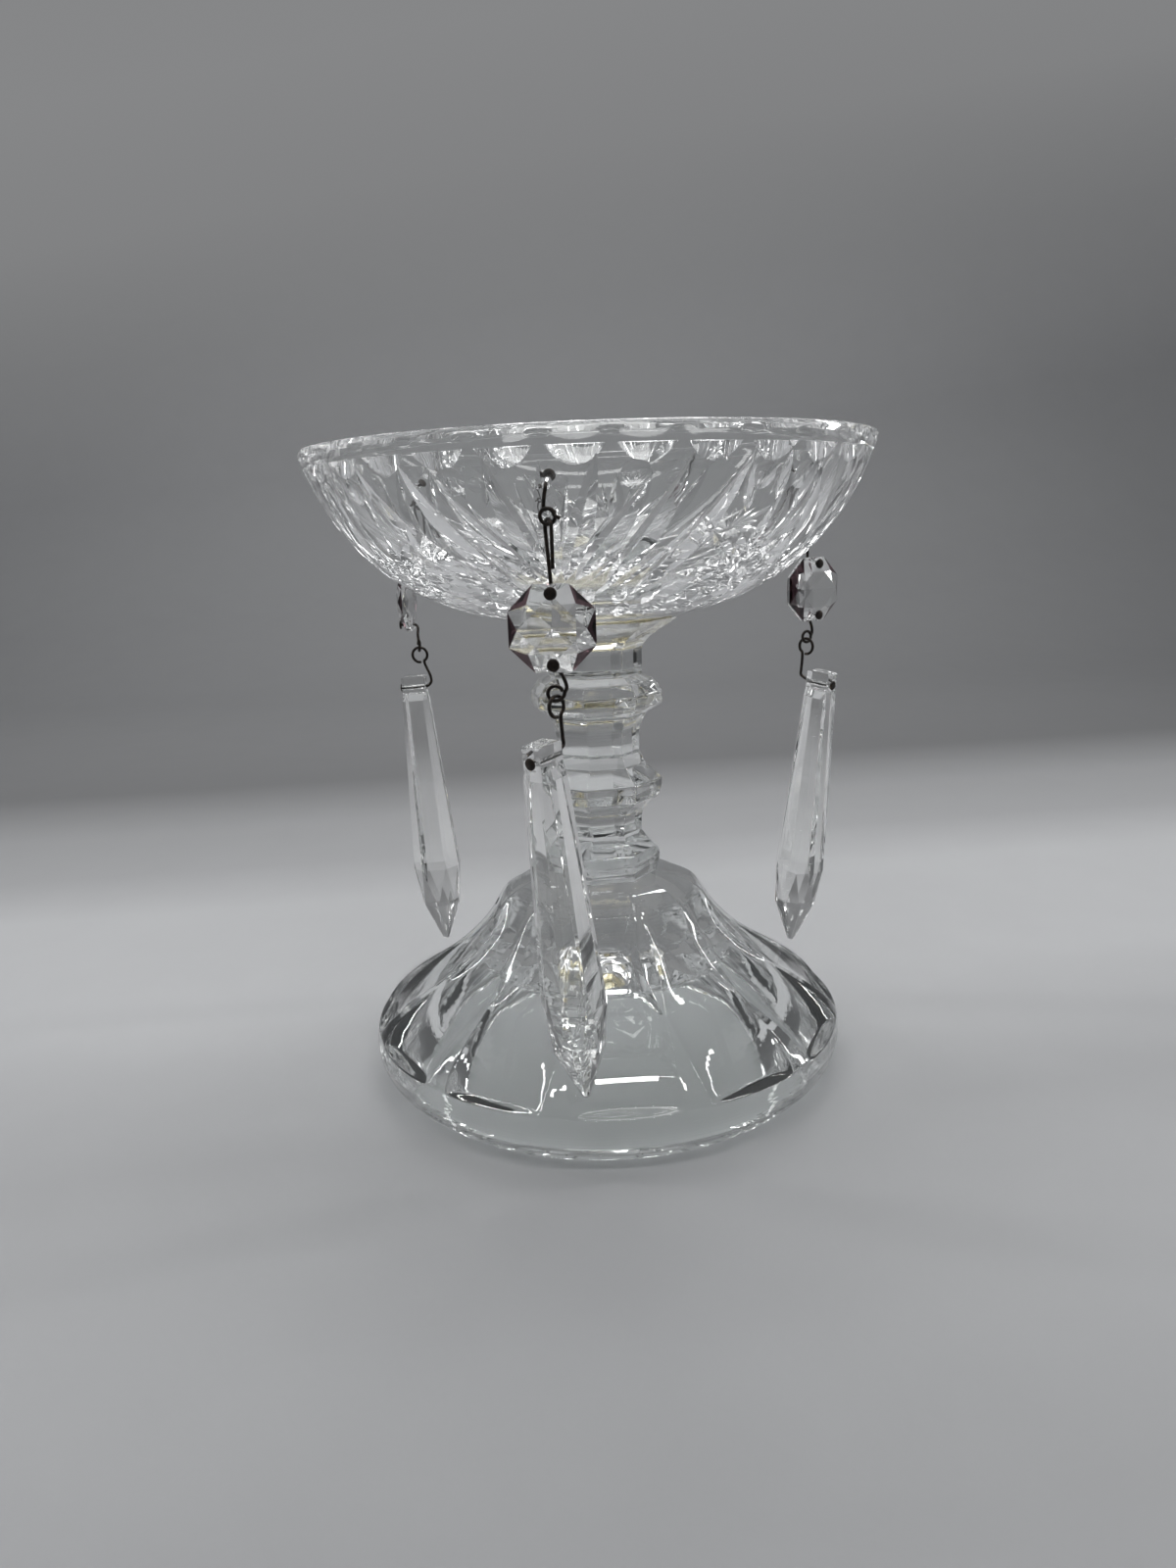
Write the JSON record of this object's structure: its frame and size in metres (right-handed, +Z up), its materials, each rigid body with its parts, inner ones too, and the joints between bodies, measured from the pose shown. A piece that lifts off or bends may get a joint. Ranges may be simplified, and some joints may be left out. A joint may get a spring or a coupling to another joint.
{
  "type": "girandole",
  "caption": "Pedestal candle bowl of cut glass on a fluted candlestick foot, hung round its rim with octagon and spear prism pendants on bent pins.",
  "frame": {"origin": "centre of the plane that the foot stands on", "axes": "+Z up along the stem and the bowl, -Y towards the viewer of the picture, +X to its right"},
  "size_m": [0.1288, 0.131, 0.15],
  "materials": {
    "clear_glass": "clear pressed glass, fire polished",
    "cut_glass": "clear glass with bright wheel cuts",
    "crystal": "faceted clear crystal",
    "aged_wire": "tarnished almost black",
    "old_cement": "yellowed clear cement"
  },
  "bodies": {
    "stand": {"candlestick": "clear_glass", "cement_disc": "old_cement", "bowl": "cut_glass"},
    "front_hook": {"front_hook": "aged_wire"},
    "front_hanger": {"front_hanger": "aged_wire"},
    "front_octagon": {"front_octagon": "crystal"},
    "front_octagon_pin": {"front_octagon_pin": "aged_wire"},
    "front_prism_pin": {"front_prism_pin": "aged_wire"},
    "front_prism": {"front_prism": "crystal"},
    "right_hook": {"right_hook": "aged_wire"},
    "right_hanger": {"right_hanger": "aged_wire"},
    "right_octagon": {"right_octagon": "crystal"},
    "right_octagon_pin": {"right_octagon_pin": "aged_wire"},
    "right_prism_pin": {"right_prism_pin": "aged_wire"},
    "right_prism": {"right_prism": "crystal"},
    "left_hook": {"left_hook": "aged_wire"},
    "left_hanger": {"left_hanger": "aged_wire"},
    "left_octagon": {"left_octagon": "crystal"},
    "left_octagon_pin": {"left_octagon_pin": "aged_wire"},
    "left_prism_pin": {"left_prism_pin": "aged_wire"},
    "left_prism": {"left_prism": "crystal"}
  },
  "joints": [
    {"name": "front_hook_turn", "type": "hinge", "parent": "stand", "child": "front_hook", "pos_m": [-0.0076, -0.06012, 0.13891], "axis": [-0.1136, -0.8992, -0.4226], "range_deg": [-12, 15]},
    {"name": "front_hanger_swing", "type": "hinge", "parent": "front_hook", "child": "front_hanger", "pos_m": [-0.00751, -0.05943, 0.13283], "axis": [-0.9921, 0.1253, 0], "range_deg": [-0.5, 8]},
    {"name": "front_octagon_turn", "type": "hinge", "parent": "front_hanger", "child": "front_octagon", "pos_m": [-0.00751, -0.06118, 0.1208], "axis": [0, -1, 0], "range_deg": [-15, 15]},
    {"name": "front_octagon_pin_turn", "type": "hinge", "parent": "front_octagon", "child": "front_octagon_pin", "pos_m": [-0.00751, -0.06118, 0.108], "axis": [0, -1, 0], "range_deg": [-15, 15]},
    {"name": "front_prism_pin_swing", "type": "hinge", "parent": "front_octagon_pin", "child": "front_prism_pin", "pos_m": [-0.00751, -0.05923, 0.1008], "axis": [-1, 0, 0], "range_deg": [-1, 10]},
    {"name": "front_prism_turn", "type": "hinge", "parent": "front_prism_pin", "child": "front_prism", "pos_m": [-0.01022, -0.06247, 0.09056], "axis": [-0.6387, -0.7611, -0.1132], "range_deg": [-2, 15]},
    {"name": "right_hook_turn", "type": "hinge", "parent": "stand", "child": "right_hook", "pos_m": [0.05586, 0.02348, 0.13891], "axis": [0.8355, 0.3512, -0.4226], "range_deg": [-2.5, 15]},
    {"name": "right_hanger_swing", "type": "hinge", "parent": "right_hook", "child": "right_hanger", "pos_m": [0.05522, 0.02321, 0.13283], "axis": [0.3875, -0.9219, 0], "range_deg": [-0.5, 10]},
    {"name": "right_octagon_turn", "type": "hinge", "parent": "right_hanger", "child": "right_octagon", "pos_m": [0.05612, 0.02171, 0.1208], "axis": [0.515, -0.8572, 0], "range_deg": [-0.5, 15]},
    {"name": "right_octagon_pin_turn", "type": "hinge", "parent": "right_octagon", "child": "right_octagon_pin", "pos_m": [0.05612, 0.02171, 0.108], "axis": [0.515, -0.8572, 0], "range_deg": [-0.5, 15]},
    {"name": "right_prism_pin_swing", "type": "hinge", "parent": "right_octagon_pin", "child": "right_prism_pin", "pos_m": [0.05512, 0.02338, 0.1008], "axis": [-0.8572, -0.515, 0], "range_deg": [-2, 15]},
    {"name": "right_prism_turn", "type": "hinge", "parent": "right_prism_pin", "child": "right_prism", "pos_m": [0.05833, 0.02017, 0.09047], "axis": [0.7018, -0.7018, -0.1219], "range_deg": [-1.5, 15]},
    {"name": "left_hook_turn", "type": "hinge", "parent": "stand", "child": "left_hook", "pos_m": [-0.04827, 0.03664, 0.13891], "axis": [-0.7219, 0.548, -0.4226], "range_deg": [-2, 15]},
    {"name": "left_hanger_swing", "type": "hinge", "parent": "left_hook", "child": "left_hanger", "pos_m": [-0.04771, 0.03622, 0.13283], "axis": [0.6046, 0.7965, 0], "range_deg": [-0.3, 12]},
    {"name": "left_octagon_turn", "type": "hinge", "parent": "left_hanger", "child": "left_octagon", "pos_m": [-0.04946, 0.03622, 0.1208], "axis": [-1, 0, 0], "range_deg": [-15, 1]},
    {"name": "left_octagon_pin_turn", "type": "hinge", "parent": "left_octagon", "child": "left_octagon_pin", "pos_m": [-0.04946, 0.03622, 0.108], "axis": [-1, 0, 0], "range_deg": [-15, 1]},
    {"name": "left_prism_pin_swing", "type": "hinge", "parent": "left_octagon_pin", "child": "left_prism_pin", "pos_m": [-0.04751, 0.03622, 0.1008], "axis": [0, 1, 0], "range_deg": [-0.4, 15]},
    {"name": "left_prism_turn", "type": "hinge", "parent": "left_prism_pin", "child": "left_prism", "pos_m": [-0.04947, 0.03628, 0.09098], "axis": [-0.998, 0.0349, -0.0523], "range_deg": [-15, 1.5]}
  ]
}
